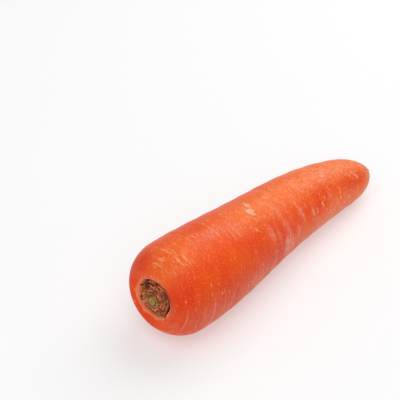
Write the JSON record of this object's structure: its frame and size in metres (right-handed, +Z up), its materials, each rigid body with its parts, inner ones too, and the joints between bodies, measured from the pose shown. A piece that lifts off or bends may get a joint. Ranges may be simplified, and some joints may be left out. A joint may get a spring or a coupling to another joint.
{
  "type": "carrot",
  "caption": "Whole raw table carrot, trimmed of its leaves and lying on its side, with a blunt tip and the dried leaf bases round the cut crown.",
  "frame": {"origin": "on the surface that the carrot lies on, under the middle of its box", "axes": "+X from the crown towards the tip, +Z up"},
  "size_m": [0.181, 0.052, 0.0533],
  "materials": {
    "root_skin": "satin, washed orange skin with pale marks across it",
    "dry_leaf_base": "matte, dry brown and fibrous",
    "green_stalk": "matte, olive green cut stalk"
  },
  "bodies": {
    "root": {"taproot": "root_skin", "leaf_bases": "dry_leaf_base", "stalk_core": "green_stalk"}
  },
  "joints": []
}
